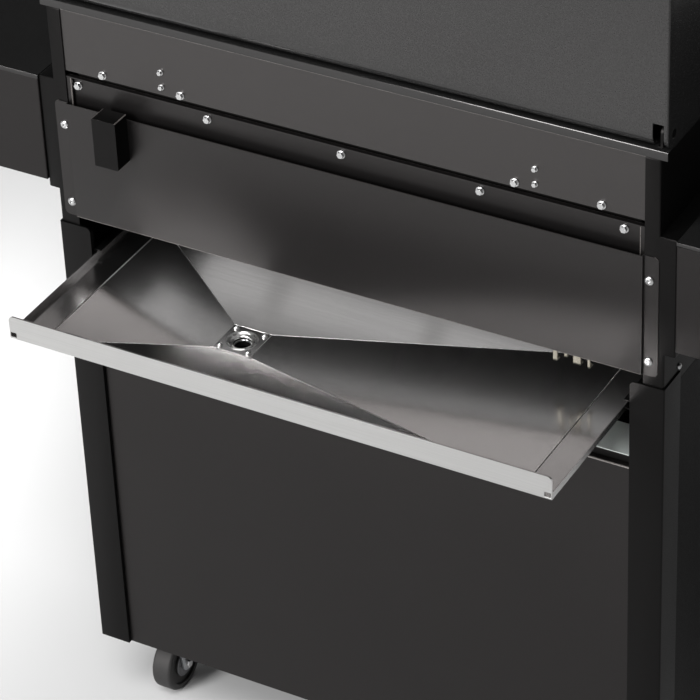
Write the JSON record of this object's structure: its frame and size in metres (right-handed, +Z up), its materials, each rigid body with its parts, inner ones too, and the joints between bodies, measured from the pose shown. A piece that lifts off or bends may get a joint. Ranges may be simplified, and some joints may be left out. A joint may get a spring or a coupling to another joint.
{
  "type": "gas grill",
  "caption": "Cart gas grill with a hinged lid, side shelves, control knobs, cabinet doors, casters and a full-width grease tray that slides out at the rear.",
  "frame": {"origin": "on the floor, at the middle of the whole object's footprint with the tray pulled out as in the picture", "axes": "+X to the grill's right as seen from its front, along the width; +Y to its rear, where the tray slides out; +Z up"},
  "size_m": [1.43, 0.722, 1.2303],
  "materials": {
    "cover_paint": "satin charcoal powder coat with a fine grain",
    "panel_paint": "satin dark grey powder coat",
    "frame_paint": "satin black powder coat",
    "gloss_black": "gloss black enamel",
    "lid_paint": "semi-gloss black enamel",
    "tray_steel": "cold rolled stainless steel with a fine grain",
    "drain_steel": "pressed stainless steel, bright",
    "galvanised": "smooth galvanised sheet",
    "fastener_steel": "zinc plated",
    "handle_steel": "brushed lengthwise",
    "burner_steel": "dull stainless steel",
    "grate_iron": "enamelled cast iron",
    "chrome_wire": "plated wire",
    "valve_brass": "machined",
    "knob_plastic": "matt black phenolic",
    "button_plastic": "glossy red",
    "dial_metal": "polished bezel",
    "caster_zinc": "zinc plated pressings",
    "wheel_rubber": "hard black rubber on a plastic core"
  },
  "bodies": {
    "cart": {"base_shelf": "frame_paint", "leg_front_left": "frame_paint", "leg_front_right": "frame_paint", "leg_rear_left": "frame_paint", "leg_rear_right": "frame_paint", "side_panel_left": "frame_paint", "side_panel_right": "frame_paint", "back_panel": "panel_paint", "rear_cross_rail": "frame_paint", "heat_shield": "galvanised", "front_cross_rail": "frame_paint", "upper_side_left": "frame_paint", "upper_side_right": "frame_paint", "rear_cover": "cover_paint", "rear_fasteners": "fastener_steel", "junction_cover": "frame_paint", "tray_runner_left": "frame_paint", "tray_runner_right": "frame_paint", "rear_wall": "cover_paint", "rear_strip": "cover_paint", "firebox": "gloss_black", "burners": "burner_steel", "heat_tents": "burner_steel", "grate_left": "grate_iron", "grate_right": "grate_iron", "warming_rack": "chrome_wire", "gas_manifold": "valve_brass", "control_panel": "lid_paint", "control_bezels": "handle_steel", "shelf_frame_left": "panel_paint", "shelf_frame_right": "panel_paint", "shelf_top_left": "gloss_black", "shelf_top_right": "gloss_black", "hinge_brackets": "frame_paint", "caster_plates": "caster_zinc"},
    "tray": {"grease_tray": "tray_steel", "drain_funnel": "drain_steel", "drain_studs": "drain_steel", "cup_hanger": "galvanised"},
    "cup": {"grease_cup": "galvanised"},
    "door_left": {"door_left": "lid_paint", "door_handle_left": "handle_steel"},
    "door_right": {"door_right": "lid_paint", "door_handle_right": "handle_steel"},
    "lid": {"lid": "lid_paint", "lid_handle": "handle_steel", "thermometer": "dial_metal"},
    "stem_left": {"stem_left": "fastener_steel"},
    "stem_middle": {"stem_middle": "fastener_steel"},
    "stem_right": {"stem_right": "fastener_steel"},
    "knob_left": {"knob_left": "knob_plastic"},
    "knob_middle": {"knob_middle": "knob_plastic"},
    "knob_right": {"knob_right": "knob_plastic"},
    "button": {"ignition_button": "button_plastic"},
    "fork_front": {"fork_front": "caster_zinc"},
    "fork_rear": {"fork_rear": "caster_zinc"},
    "wheel_left_front": {"wheel_left_front": "wheel_rubber"},
    "wheel_left_rear": {"wheel_left_rear": "wheel_rubber"},
    "wheel_right_front": {"wheel_right_front": "wheel_rubber"},
    "wheel_right_rear": {"wheel_right_rear": "wheel_rubber"}
  },
  "joints": [
    {"name": "tray_slide", "type": "slide", "parent": "cart", "child": "tray", "axis": [0, 1, 0], "range_m": [-0.171, 0.08]},
    {"name": "cup_slide", "type": "slide", "parent": "tray", "child": "cup", "axis": [0, 1, 0], "range_m": [0, 0.1]},
    {"name": "door_left_hinge", "type": "hinge", "parent": "cart", "child": "door_left", "pos_m": [-0.3625, -0.29, 0.401], "axis": [0, 0, -1], "range_deg": [0, 100]},
    {"name": "door_right_hinge", "type": "hinge", "parent": "cart", "child": "door_right", "pos_m": [0.3625, -0.29, 0.401], "axis": [0, 0, 1], "range_deg": [0, 100]},
    {"name": "lid_hinge", "type": "hinge", "parent": "cart", "child": "lid", "pos_m": [0, 0.171, 1.0053], "axis": [-1, 0, 0], "range_deg": [0, 85]},
    {"name": "stem_left_turn", "type": "hinge", "parent": "cart", "child": "stem_left", "pos_m": [-0.205, -0.3, 0.817], "axis": [0, -1, 0], "range_deg": [0, 180]},
    {"name": "knob_left_push", "type": "slide", "parent": "stem_left", "child": "knob_left", "axis": [0, 1, 0], "range_m": [0, 0.004], "stiffness_N_per_m": 600, "springref_m": -0.002},
    {"name": "stem_middle_turn", "type": "hinge", "parent": "cart", "child": "stem_middle", "pos_m": [0, -0.3, 0.817], "axis": [0, -1, 0], "range_deg": [0, 180]},
    {"name": "knob_middle_push", "type": "slide", "parent": "stem_middle", "child": "knob_middle", "axis": [0, 1, 0], "range_m": [0, 0.004], "stiffness_N_per_m": 600, "springref_m": -0.002},
    {"name": "stem_right_turn", "type": "hinge", "parent": "cart", "child": "stem_right", "pos_m": [0.205, -0.3, 0.817], "axis": [0, -1, 0], "range_deg": [0, 180]},
    {"name": "knob_right_push", "type": "slide", "parent": "stem_right", "child": "knob_right", "axis": [0, 1, 0], "range_m": [0, 0.004], "stiffness_N_per_m": 600, "springref_m": -0.002},
    {"name": "button_push", "type": "slide", "parent": "cart", "child": "button", "axis": [0, 1, 0], "range_m": [0, 0.004], "stiffness_N_per_m": 600, "springref_m": -0.002},
    {"name": "fork_front_swivel", "type": "hinge", "parent": "cart", "child": "fork_front", "pos_m": [-0.31, -0.214, 0.09], "axis": [0, 0, 1], "continuous": true},
    {"name": "wheel_left_front_roll", "type": "hinge", "parent": "fork_front", "child": "wheel_left_front", "pos_m": [-0.31, -0.192, 0.0375], "axis": [1, 0, 0], "continuous": true},
    {"name": "wheel_right_front_roll", "type": "hinge", "parent": "cart", "child": "wheel_right_front", "pos_m": [0.31, -0.214, 0.0375], "axis": [1, 0, 0], "continuous": true},
    {"name": "fork_rear_swivel", "type": "hinge", "parent": "cart", "child": "fork_rear", "pos_m": [-0.31, 0.126, 0.09], "axis": [0, 0, 1], "continuous": true},
    {"name": "wheel_left_rear_roll", "type": "hinge", "parent": "fork_rear", "child": "wheel_left_rear", "pos_m": [-0.31, 0.148, 0.0375], "axis": [1, 0, 0], "continuous": true},
    {"name": "wheel_right_rear_roll", "type": "hinge", "parent": "cart", "child": "wheel_right_rear", "pos_m": [0.31, 0.126, 0.0375], "axis": [1, 0, 0], "continuous": true}
  ]
}
